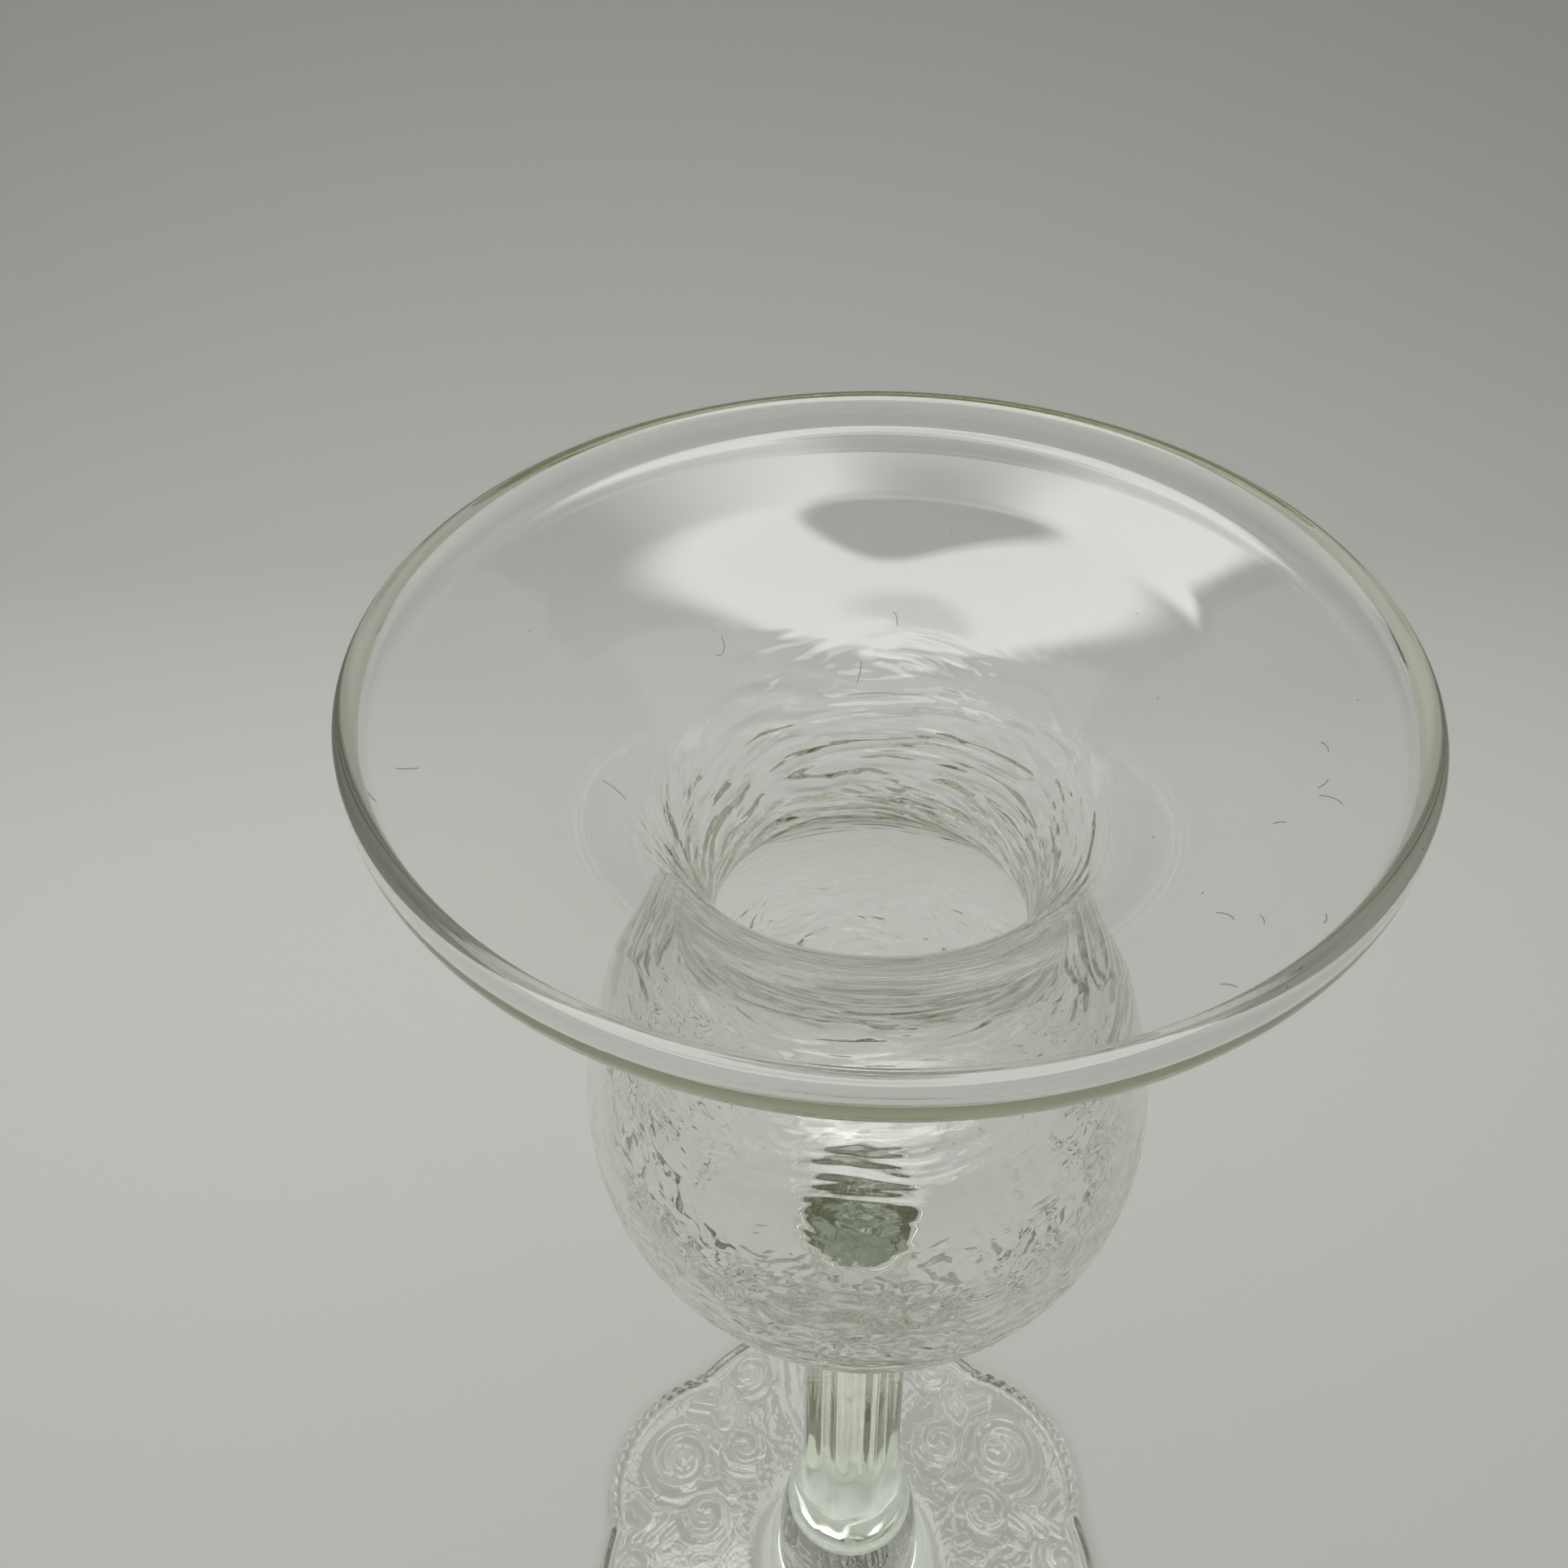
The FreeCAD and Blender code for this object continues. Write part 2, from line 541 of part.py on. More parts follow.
# Plate trimmed to the foot's lobes, then the border round it
lobed, border_edges = foot_outline(body)
trim_radius = plate_radius + SPARE
circle = lobed.addGeometry(Part.Circle(point(0, 0), FreeCAD.Vector(0, 0, 1), trim_radius), False)
lobed.addConstraint(Sketcher.Constraint("Coincident", circle, CENTRE, *ORIGIN))
bind(lobed, "Sizes.foot_reach + %g" % (2 * SPARE), "Radius", circle, trim_radius)
scallops = body.newObject("PartDesign::Pocket", "scallops")
scallops.Profile = lobed
scallops.Reversed = True
scallops.setExpression("Length", "Sizes.foot_edge * 2")
doc.recompute()
border = body.newObject("PartDesign::AdditivePipe", "border")
border.Profile = border_section(body)
border.Spine = (lobed, border_edges)
doc.recompute()

# Flutes round the stem
flute_section, flute_side = flute_profile(body)
doc.recompute()
flute = body.newObject("PartDesign::Groove", "flute")
flute.Profile = flute_section
flute.ReferenceAxis = (flute_section, ["Edge%d" % (flute_side + 1)])
flute.Angle = FULL_TURN
doc.recompute()
flutes = body.newObject("PartDesign::PolarPattern", "flutes")
flutes.Originals = [flute]
flutes.Axis = (origin_axis(body, "Z_Axis"), [""])
flutes.Angle = FULL_TURN
flutes.setExpression("Occurrences", "Sizes.flute_count")
body.Tip = flutes
doc.recompute()

# Fans and scrolls on the foot
creases = []
raised = []
for number, letter in enumerate("abc"):
    scroll_direction = FIRST_SCROLL + number * THIRD
    raised += scroll_relief(scroll_direction, letter)
    creases += fan_creases(scroll_direction + THIRD / 2, letter)
doc.recompute()
crease_tool = doc.addObject("Part::MultiFuse", "creases")
crease_tool.Shapes = creases
creased = doc.addObject("Part::Cut", "creased_glass")
creased.Base = body
creased.Tool = crease_tool
glass = doc.addObject("Part::MultiFuse", "glass")
glass.Shapes = [creased] + raised
glass.Label = "liqueur_glass"
doc.recompute()

for item in doc.Objects:
    if "Invalid" in item.State or "Error" in item.State:
        raise RuntimeError("%s could not be built: %s" % (item.Label, item.State))
shape = glass.Shape
if shape.isNull() or not shape.isValid() or len(shape.Solids) != 1:
    raise RuntimeError("The glass is not one sound solid")

os.makedirs("parts", exist_ok=True)
shape.exportStep("parts/%s.step" % glass.Label)
print("%s: %.0f cubic millimetres, neck at %.1f, bulb's middle at %.1f, stem from %.1f to %.1f"
      % (glass.Label, shape.Volume, neck_height, bulb_height, value["bell_top"], stem_top))
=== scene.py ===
import math

import bpy
import numpy as np
from mathutils import Matrix, Vector


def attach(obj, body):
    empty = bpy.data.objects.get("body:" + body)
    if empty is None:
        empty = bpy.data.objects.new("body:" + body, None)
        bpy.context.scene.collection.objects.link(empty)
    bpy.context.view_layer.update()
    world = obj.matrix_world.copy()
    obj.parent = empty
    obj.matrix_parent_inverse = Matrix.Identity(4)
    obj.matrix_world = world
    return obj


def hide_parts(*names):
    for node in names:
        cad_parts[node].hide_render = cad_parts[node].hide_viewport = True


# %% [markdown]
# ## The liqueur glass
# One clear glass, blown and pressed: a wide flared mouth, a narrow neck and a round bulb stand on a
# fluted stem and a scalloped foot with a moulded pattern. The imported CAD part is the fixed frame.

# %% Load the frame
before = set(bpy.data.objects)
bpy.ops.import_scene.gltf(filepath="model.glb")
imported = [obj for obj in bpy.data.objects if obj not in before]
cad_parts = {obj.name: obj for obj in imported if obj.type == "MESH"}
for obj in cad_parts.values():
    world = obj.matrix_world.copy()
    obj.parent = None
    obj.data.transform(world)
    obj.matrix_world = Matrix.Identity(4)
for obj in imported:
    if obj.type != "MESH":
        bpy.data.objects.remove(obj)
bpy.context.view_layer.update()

# %% [markdown]
# ## Sizes
# A turned glass is drawn as a section: distances from the axis and heights. They are written here in
# millimetres, as a glassmaker would give them, and become metres only when a mesh is made.

# %% Sizes of the glass
MM = 0.001
HEIGHT = 126.0
RIM_RADIUS = 27.5
WALL = 1.2
LIP_TURN = 2.2
LIP_DROP = 0.9
FLARE_SLOPE = math.radians(17)
FLARE_CENTRE = (26.0, 106.32)
FLARE_RADIUS = 15.4
NECK_CENTRE = (14.0, 106.32)
NECK_TURN = 3.4
BULB_HEIGHT = 89.1
BULB_RADIUS = 18.8
STEM_TOP = 69.6
STEM_TOP_RADIUS = 4.3
STEM_FILLET = 1.6
BELL_TOP = 25.6
STEM_FOOT_RADIUS = 4.8
BELL_RADIUS = 7.2
BELL_FILLET = 4.0
FOOT_EDGE = 1.9
FOOT_TILT = math.radians(7)
FOOT_SLOPE = math.tan(FOOT_TILT)
FOOT_REACH = 28.6
print("glass", HEIGHT, "mm tall, mouth", 2 * RIM_RADIUS, "mm across")

# %% [markdown]
# ## Section of the bowl
# The bowl is thin, so it needs both its faces: light bends once going in and once coming out, and the
# dark and light lines along the lip, neck and bulb come from that. Each face is a row of arcs that run
# into one another, and one helper turns an arc into points.


# %% Arcs of the section
def arc(centre, radius, first, last, count):
    """Points on an arc, between two angles in radians."""
    turn = np.linspace(first, last, count)
    return np.column_stack([centre[0] + radius * np.cos(turn), centre[1] + radius * np.sin(turn)])


def tangent_angle():
    """Direction from the bulb's centre to the neck's."""
    return math.atan2(NECK_CENTRE[1] - BULB_HEIGHT, NECK_CENTRE[0])


def inner_face():
    """Inside of the bowl, from the middle of its bottom up to the lip."""
    touch = tangent_angle()
    bulb = arc((0, BULB_HEIGHT), BULB_RADIUS - WALL, -math.pi / 2, touch, count=36)
    neck = arc(NECK_CENTRE, NECK_TURN + WALL, touch + math.pi, math.pi, count=8)
    flare = arc(FLARE_CENTRE, FLARE_RADIUS + WALL, math.pi, math.pi / 2 + FLARE_SLOPE, count=24)
    turn_centre = (RIM_RADIUS - LIP_TURN, HEIGHT - WALL / 2 - LIP_DROP)
    turn = arc(turn_centre, LIP_TURN - WALL, FLARE_SLOPE - math.pi / 2, 0, count=7)
    return np.vstack([bulb, neck[1:], flare[1:], turn])


def outer_face():
    """Lip and outside of the bowl, down to where the stem begins."""
    touch = tangent_angle()
    lip = arc((RIM_RADIUS - WALL / 2, HEIGHT - WALL / 2), WALL / 2, math.pi, 0, count=12)
    turn_centre = (RIM_RADIUS - LIP_TURN, HEIGHT - WALL / 2 - LIP_DROP)
    turn = arc(turn_centre, LIP_TURN, 0, FLARE_SLOPE - math.pi / 2, count=10)
    flare = arc(FLARE_CENTRE, FLARE_RADIUS, math.pi / 2 + FLARE_SLOPE, math.pi, count=22)
    neck = arc(NECK_CENTRE, NECK_TURN, math.pi, touch + math.pi, count=10)
    fillet = (STEM_TOP_RADIUS + STEM_FILLET, STEM_TOP)
    meet = math.atan2(fillet[1] - BULB_HEIGHT, fillet[0])
    bulb = arc((0, BULB_HEIGHT), BULB_RADIUS, touch, meet, count=36)
    joint = arc(fillet, STEM_FILLET, meet + math.pi, math.pi, count=8)
    return np.vstack([lip, turn, flare, neck[1:], bulb[1:], joint[1:]])


inside = inner_face()
outside = outer_face()
print("section", len(inside), "points inside,", len(outside), "outside")

# %% [markdown]
# ## Stem
# The stem is solid and has eight shallow flutes, pressed in the mould, that fade out at both ends. In
# plan each flute is a hollow between two soft ridges, so a power of a cosine gives its shape.

# %% Stem rings
BOWL_SIDES = 240
FLUTES = 8
FLUTE_DEPTH = 0.42
FLUTE_FADE = 12
FLUTE_SHARPNESS = 1.4
STEM_RINGS = 26


def flute(turn, level):
    """Depth of the flutes at a direction and a height."""
    share = (level - BELL_TOP) / (STEM_TOP - BELL_TOP)
    fade = np.clip(share * FLUTE_FADE, 0, 1) * np.clip((1 - share) * FLUTE_FADE, 0, 1)
    hollow = np.abs(np.cos(turn * FLUTES / 2)) ** FLUTE_SHARPNESS
    return FLUTE_DEPTH * hollow * fade * fade * (3 - 2 * fade)


def ring(radii, level, sides):
    """One ring of points at a height. radii is one number, or one for each side."""
    turn = np.linspace(0, 2 * math.pi, sides, endpoint=False)
    flat = np.broadcast_to(radii, turn.shape)
    height = np.broadcast_to(level, turn.shape)
    return np.column_stack([flat * np.cos(turn), flat * np.sin(turn), height])


bowl_turn = np.linspace(0, 2 * math.pi, BOWL_SIDES, endpoint=False)
stem_rings = []
for level in np.linspace(STEM_TOP, BELL_TOP, STEM_RINGS)[1:]:
    share = (level - BELL_TOP) / (STEM_TOP - BELL_TOP)
    plain = STEM_FOOT_RADIUS + share * (STEM_TOP_RADIUS - STEM_FOOT_RADIUS)
    stem_rings.append(ring(plain - flute(bowl_turn, level), level, BOWL_SIDES))
print("stem", len(stem_rings), "rings")

# %% [markdown]
# ## Outline of the foot
# Seen from above the foot has three scroll lobes and three wider fan lobes, with a small notch between
# neighbours. Each is a circle off the axis, and the outline is the outermost of the six at every
# direction. A soft maximum rounds the notches, as the mould does.

# %% Outline of the foot
# A lobe is written as reach, radius and direction: millimetres and degrees.
FOOT_SIDES = 480
NOTCH_SHARPNESS = 5.0
MIDDLE_REACH = 27
SCROLL_DIRECTION = 30
FAN_DIRECTION = 90
LOBES = []
for third in (0, 120, 240):
    LOBES.append((28.6, 13.6, SCROLL_DIRECTION + third))
    LOBES.append((27.8, 22.0, FAN_DIRECTION + third))


def outline(turn):
    """Distance from the axis to the edge of the foot, at each direction."""
    reaches = []
    for reach, radius, direction in LOBES:
        offset = reach - radius
        angle = turn - math.radians(direction)
        inside_root = radius ** 2 - (offset * np.sin(angle)) ** 2
        reach_here = offset * np.cos(angle) + np.sqrt(np.clip(inside_root, 0, None))
        reaches.append(np.where((inside_root > 0) & (np.cos(angle) > 0), reach_here, 0.0))
    total = sum(np.exp(NOTCH_SHARPNESS * (reach_here - MIDDLE_REACH)) for reach_here in reaches)
    return np.log(total) / NOTCH_SHARPNESS + MIDDLE_REACH


foot_turn = np.linspace(0, 2 * math.pi, FOOT_SIDES, endpoint=False)
foot_edge = np.minimum(outline(foot_turn), FOOT_REACH)
print("foot", round(foot_edge.min(), 2), "to", round(foot_edge.max(), 2), "mm from the axis")

# %% [markdown]
# ## Pattern on the foot
# The moulded pattern is a relief about a millimetre high, so it is a height added to the plain
# foot. Lines are drawn in millimetres in a lobe's own plan, outwards and sideways, and every lobe of a
# kind uses the same drawing, turned by a third. A line is raised or sunk by how near a point is to it.


# %% Lines of the pattern
def distance_to(line, across, along):
    """Distance from every point to a line drawn through the given points."""
    best = np.full(across.shape, 1e9)
    for (x0, y0), (x1, y1) in zip(line, line[1:]):
        length = max((x1 - x0) ** 2 + (y1 - y0) ** 2, 1e-9)
        share = np.clip(((across - x0) * (x1 - x0) + (along - y0) * (y1 - y0)) / length, 0, 1)
        gap = np.hypot(across - x0 - share * (x1 - x0), along - y0 - share * (y1 - y0))
        best = np.minimum(best, gap)
    return best


def spiral(centre, start, turns, first, last, count=26):
    """Points of a curl that winds from one radius to another. start and turns are in turns."""
    at = np.linspace(0, 1, count)
    angle = 2 * math.pi * (start + at * turns)
    radius = first + (last - first) * at
    return list(zip(centre[0] + radius * np.cos(angle), centre[1] + radius * np.sin(angle)))


def bar(line, out, side, height, width):
    """Rounded bar, or a groove where height is below nought, along a line."""
    return height * np.exp(-(distance_to(line, out, side) / width) ** 2)


def in_lobe(x, y, direction):
    """A point's place in the plan of the nearest lobe of a kind: outwards, and to the left."""
    radius = np.hypot(x, y)
    third = 2 * math.pi / 3
    angle = (np.arctan2(y, x) - math.radians(direction) + third / 2) % third - third / 2
    return radius * np.cos(angle), radius * np.sin(angle)


# %% Scroll lobes
# A curl is written as centre, start, turns, first and last radius, height and width.
# A stalk is written as its points, height and width.
PEARL = (20.6, 0.3)
PEARL_RADIUS = 1.25
PEARL_HEIGHT = 0.75
SCROLL_CURLS = [((20.9, 0.2), -0.35, 1.15, 4.1, 2.6, 0.75, 0.62),
                ((20.9, 0.2), 0.86, 0.3, 2.5, 1.9, 0.45, 0.4),
                ((15.3, 4.3), 0.1, 1.25, 2.5, 0.8, 0.6, 0.5),
                ((15.3, -4.3), 0.4, -1.25, 2.5, 0.8, 0.6, 0.5)]
STALKS = [([(14.2, 0.4), (16.1, 0.1), (17.2, 1.3)], 0.5, 0.55),
          ([(18.9, 5.8), (20.9, 6.9), (23.1, 6.4)], 0.5, 0.45),
          ([(18.9, -5.8), (20.9, -6.9), (23.3, -6.2)], 0.5, 0.45)]
LEAVES = 3
LEAF_ROOT = (17.2, 5.4)
LEAF_TIP = (18.2, 8.1)
ROOT_STEP = (1.5, 1.0)
TIP_STEP = (1.6, 1.0)
LEAF_HEIGHT = 0.4
LEAF_WIDTH = 0.4


def curl(row, out, side):
    """Relief of one curl."""
    centre, start, turns, first, last, rise, width = row
    return bar(spiral(centre, start, turns, first, last), out, side, rise, width)


def scroll_height(out, side):
    """Relief of a scroll lobe: a pearl in a large curl, two small curls and leaves between them."""
    height = PEARL_HEIGHT * np.exp(-(np.hypot(out - PEARL[0], side - PEARL[1]) / PEARL_RADIUS) ** 4)
    for row in SCROLL_CURLS:
        height += curl(row, out, side)
    for line, rise, width in STALKS:
        height += bar(line, out, side, rise, width)
    for lean in (-1, 1):
        for step in range(LEAVES):
            root = (LEAF_ROOT[0] + ROOT_STEP[0] * step, lean * (LEAF_ROOT[1] + ROOT_STEP[1] * step))
            tip = (LEAF_TIP[0] + TIP_STEP[0] * step, lean * (LEAF_TIP[1] + TIP_STEP[1] * step))
            height += bar([root, tip], out, side, LEAF_HEIGHT, LEAF_WIDTH)
    return height


# %% Fans
FAN_ROOT = 6
FAN_HALF_ANGLE = 34
PETAL_ANGLE = 9.4
PETAL_BEND = 0.9
BEND_START = 10
PETAL_DEPTH = 0.62
PETAL_ROUNDNESS = 0.45
SIDE_FADE = 3
ROOT_GAP = 5
ROOT_FADE = 4
FULL_DEPTH = 16
LEAST_DEPTH = 0.3
GROOVE = [(8.5, 1.5), (12, 1.2), (17, 0.2), (21, -1.9), (25.8, -5.2)]
GROOVE_HEIGHT = -0.35
GROOVE_WIDTH = 0.35
FAN_CURLS = [((20.5, 10.6), 0.5, 1.2, 2.3, 0.7, 0.55, 0.5),
             ((20.5, -10.6), 0.0, -1.2, 2.3, 0.7, 0.55, 0.5)]


def fan_height(out, side):
    """Relief of a fan lobe: petals that spread from the bell and bend the same way round."""
    reach = np.hypot(out - FAN_ROOT, side)
    angle = np.degrees(np.arctan2(side, out - FAN_ROOT)) + (reach - BEND_START) * PETAL_BEND
    petals = np.abs(np.cos(np.radians(angle * 180 / PETAL_ANGLE)))
    shape = PETAL_DEPTH * (petals ** PETAL_ROUNDNESS - 1)
    fade = np.clip((FAN_HALF_ANGLE - np.abs(angle)) / SIDE_FADE, 0, 1)
    fade = fade * np.clip((reach - ROOT_GAP) / ROOT_FADE, 0, 1)
    height = shape * fade * np.clip(reach / FULL_DEPTH, LEAST_DEPTH, 1)
    height += bar(GROOVE, out, side, GROOVE_HEIGHT, GROOVE_WIDTH)
    for row in FAN_CURLS:
        height += curl(row, out, side)
    return height


# %% Border
# A line of the border is written as its gap from the edge, half width, height and squareness.
BEADED_BAR = (0.85, 0.62, 0.85, 4)
OUTER_LINE = (0.5, 0.42, 0.75, 4)
INNER_LINE = (1.65, 0.3, 0.5, 2)
BEADED_HALF = 10.2
BEADED_FADE = 1.2
BEADED_FROM = 20
BEAD_STEP = 1.35
BEAD_DEPTH = 0.28


def edge_line(edge_gap, line):
    """Raised line that follows the edge of the foot."""
    gap, width, rise, squareness = line
    return rise * np.exp(-((edge_gap - gap) / width) ** squareness)


def border_height(edge_gap, x, y):
    """Raised border: beaded along the scroll lobes, two plain lines along the fans."""
    out, side = in_lobe(x, y, SCROLL_DIRECTION)
    beaded = np.clip((BEADED_HALF - np.abs(side)) / BEADED_FADE, 0, 1) * (out > BEADED_FROM)
    beads = 1 - BEAD_DEPTH + BEAD_DEPTH * np.cos(side * 2 * math.pi / BEAD_STEP)
    round_bar = edge_line(edge_gap, BEADED_BAR) * beads
    lines = edge_line(edge_gap, OUTER_LINE) + edge_line(edge_gap, INNER_LINE)
    return beaded * round_bar + (1 - beaded) * lines


# %% Foot rings
PLATE_START = BELL_RADIUS + BELL_FILLET
RELIEF = 1.6
BELL_FADE = 1.6
BORDER_WIDTH = 1.6
BORDER_FADE = 0.8
PATTERN_RINGS = 76
LAST_RING_GAP = 0.35


def foot_height(x, y, edge_gap):
    """Height of the foot's upper face, pattern and all."""
    radius = np.hypot(x, y)
    plain = FOOT_EDGE + (FOOT_REACH - radius) * FOOT_SLOPE
    scrolls = scroll_height(*in_lobe(x, y, SCROLL_DIRECTION))
    fans = fan_height(*in_lobe(x, y, FAN_DIRECTION))
    past_bell = np.clip((radius - PLATE_START) / BELL_FADE, 0, 1)
    within_border = np.clip((edge_gap - BORDER_WIDTH) / BORDER_FADE, 0, 1)
    pattern = RELIEF * (scrolls + fans) * past_bell * within_border
    return plain + pattern + border_height(edge_gap, x, y)


foot_rings = []
for share in np.linspace(0, 1, PATTERN_RINGS):
    radii = PLATE_START + share * (foot_edge - LAST_RING_GAP - PLATE_START)
    x, y = radii * np.cos(foot_turn), radii * np.sin(foot_turn)
    foot_rings.append(np.column_stack([x, y, foot_height(x, y, foot_edge - radii)]))
# The edge is written as inset and height, in millimetres.
EDGE = [(0.16, 2.15), (0.04, 1.9), (0.0, 1.5), (0.0, 0.8), (0.08, 0.35), (0.3, 0.06), (0.7, 0.0)]
for inset, level in EDGE:
    foot_rings.append(ring(foot_edge - inset, level, FOOT_SIDES))
foot_rings.append(ring(foot_edge * 0.5, 0.0, FOOT_SIDES))
pattern_top = max(row[:, 2].max() for row in foot_rings)
print("foot", len(foot_rings), "rings, top of the pattern at", round(pattern_top, 2), "mm")

# %% [markdown]
# ## Bell
# The stem runs out into the foot in a bell: first wider by an arc, then out through a fillet. It is the
# place where the number of points round the glass doubles, because the foot's pattern needs more of
# them than the plain bowl does.

# %% Bell rings
bell_foot = FOOT_EDGE + (FOOT_REACH - PLATE_START) * FOOT_SLOPE + BELL_FILLET / math.cos(FOOT_TILT)
bell_drop = BELL_TOP - bell_foot
bell_out = BELL_RADIUS - STEM_FOOT_RADIUS
bell_curve = (bell_out ** 2 + bell_drop ** 2) / (2 * bell_out)
bell_centre = (BELL_RADIUS - bell_curve, bell_foot)
bell_rings = []
for radius, level in arc(bell_centre, bell_curve, math.asin(bell_drop / bell_curve), 0, count=16)[1:]:
    bell_rings.append(ring(radius, level, BOWL_SIDES))
fillet_rings = []
fillet_end = math.pi * 1.5 - FOOT_TILT
for radius, level in arc((PLATE_START, bell_foot), BELL_FILLET, math.pi, fillet_end, count=12)[1:-1]:
    fillet_rings.append(ring(radius, level, FOOT_SIDES))
print("bell", len(bell_rings) + len(fillet_rings), "rings, foot of the bell at", round(bell_foot, 2), "mm")


# %% [markdown]
# ## One closed skin
# Glass only bends light rightly when its mesh is one closed skin, so bowl, stem, bell and foot are
# joined ring by ring. Where a ring has twice the points of the one before, three triangles join each
# side of the first to two sides of the second.

# %% Join the rings
def skin(rings, first_point, last_point):
    """Points and faces of a closed skin through rings, from one point on the axis to another."""
    points = [np.array([first_point])]
    faces = []
    starts = []
    count = 1
    for row in rings:
        starts.append((count, len(row)))
        points.append(row)
        count += len(row)
    points.append(np.array([last_point]))
    begin, sides = starts[0]
    faces += [(0, begin + i, begin + (i + 1) % sides) for i in range(sides)]
    for (a, n), (b, m) in zip(starts, starts[1:]):
        if n == m:
            faces += [(a + i, b + i, b + (i + 1) % n, a + (i + 1) % n) for i in range(n)]
            continue
        for i in range(n):
            here, after = a + i, a + (i + 1) % n
            left, middle, right = b + 2 * i, b + 2 * i + 1, b + (2 * i + 2) % m
            faces += [(here, left, middle), (here, middle, after), (after, middle, right)]
    begin, sides = starts[-1]
    faces += [(count, begin + (i + 1) % sides, begin + i) for i in range(sides)]
    return np.vstack(points), faces


bowl_rings = [ring(r, z, BOWL_SIDES) for r, z in inside[1:]]
bowl_rings += [ring(r, z, BOWL_SIDES) for r, z in outside[1:]]
all_rings = bowl_rings + stem_rings + bell_rings + fillet_rings + foot_rings
points, faces = skin(all_rings, (0, 0, inside[0][1]), (0, 0, 0))
triangles = sum(len(f) - 2 for f in faces)
print("glass", len(points), "points,", triangles, "triangles")


# %% Make the glass
def make_piece(name, points, faces):
    """Mesh object from points in millimetres."""
    mesh = bpy.data.meshes.new(name)
    mesh.from_pydata((np.asarray(points) * MM).tolist(), [], faces)
    mesh.validate()
    mesh.shade_smooth()
    made = bpy.data.objects.new(name, mesh)
    bpy.context.scene.collection.objects.link(made)
    return made


glass = make_piece("clear_glass_body", points, faces)
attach(glass, "root")
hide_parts("liqueur_glass")

# %% [markdown]
# ## Ripple of blown glass
# Blown glass is never quite even: its faces wander a little in broad, soft waves, and more where a tool
# or the mould has touched it, which is round the neck, on the bulb's lower half and on the foot. A node
# group adds these heights up: one broad noise, and one finer noise whose scale and strength change from
# part to part. Small helpers make the sums and the soft steps.


# %% Node helpers
def math_node(nodes, links, operation, first, second):
    """One sum of two values, each a socket or a number."""
    node = nodes.new("ShaderNodeMath")
    node.operation = operation
    for socket, value in zip(node.inputs, (first, second)):
        if isinstance(value, (int, float)):
            socket.default_value = value
        else:
            links.new(value, socket)
    return node.outputs["Value"]


def soft_step(nodes, links, value, start, stop):
    """Value that climbs softly from nought at start to one at stop."""
    node = nodes.new("ShaderNodeMapRange")
    node.interpolation_type = "SMOOTHSTEP"
    node.inputs["From Min"].default_value = start
    node.inputs["From Max"].default_value = stop
    links.new(value, node.inputs["Value"])
    return node.outputs["Result"]


def new_group(name, inputs, outputs):
    """Empty shader node group. inputs and outputs are (name, kind, value)."""
    group = bpy.data.node_groups.new(name, "ShaderNodeTree")
    for label, kind, value in inputs:
        socket = group.interface.new_socket(label, in_out="INPUT", socket_type="NodeSocket" + kind)
        if value is not None:
            socket.default_value = value
    for label, kind in outputs:
        group.interface.new_socket(label, in_out="OUTPUT", socket_type="NodeSocket" + kind)
    return group, group.nodes.new("NodeGroupInput"), group.nodes.new("NodeGroupOutput")


# %% Belts of tool marks
# A belt is written as the height of its middle and its reach up and down, in metres.
BELTS = {"Neck marks": (0.107, 0.012), "Bulb marks": (0.0805, 0.0145), "Foot marks": (0.003, 0.006)}
FOOT_END = 0.03
BULB_END = 0.095


def belt(nodes, links, level, middle, reach):
    """Mask of a belt round the glass: one at its middle height, nought beyond its reach."""
    away = math_node(nodes, links, "ABSOLUTE", math_node(nodes, links, "SUBTRACT", level, middle), 0.0)
    return soft_step(nodes, links, away, reach, 0.0)


def by_part(nodes, links, past_foot, past_bulb, values):
    """One value for the foot, one for the bulb and one for the neck."""
    foot, bulb, neck = values
    to_bulb = math_node(nodes, links, "MULTIPLY", past_foot, bulb - foot)
    to_neck = math_node(nodes, links, "MULTIPLY", past_bulb, neck - bulb)
    return math_node(nodes, links, "ADD", math_node(nodes, links, "ADD", to_bulb, to_neck), foot)


# %% Ripple group
# The finer noise has its own scale round the glass and up it, at the foot, the bulb and the neck.
ROUND_SCALES = (330.0, 200.0, 90.0)
HEIGHT_SCALES = (330.0, 270.0, 378.0)
CURL = 2.4
ripple, ripple_in, ripple_out = new_group(
    "Blown ripple", [("Vector", "Vector", None), ("Scale", "Float", 60.0), ("Neck marks", "Float", 1.0),
                     ("Bulb marks", "Float", 1.0), ("Foot marks", "Float", 1.0)], [("Height", "Float")])
ripple_nodes, ripple_links = ripple.nodes, ripple.links
broad = ripple_nodes.new("ShaderNodeTexNoise")
broad.inputs["Detail"].default_value = 0.0
ripple_links.new(ripple_in.outputs["Vector"], broad.inputs["Vector"])
ripple_links.new(ripple_in.outputs["Scale"], broad.inputs["Scale"])
separate = ripple_nodes.new("ShaderNodeSeparateXYZ")
ripple_links.new(ripple_in.outputs["Vector"], separate.inputs["Vector"])
level = separate.outputs["Z"]
past_foot = math_node(ripple_nodes, ripple_links, "GREATER_THAN", level, FOOT_END)
past_bulb = math_node(ripple_nodes, ripple_links, "GREATER_THAN", level, BULB_END)
stretch = ripple_nodes.new("ShaderNodeCombineXYZ")
for axis, scales in (("X", ROUND_SCALES), ("Y", ROUND_SCALES), ("Z", HEIGHT_SCALES)):
    scale = by_part(ripple_nodes, ripple_links, past_foot, past_bulb, scales)
    ripple_links.new(scale, stretch.inputs[axis])
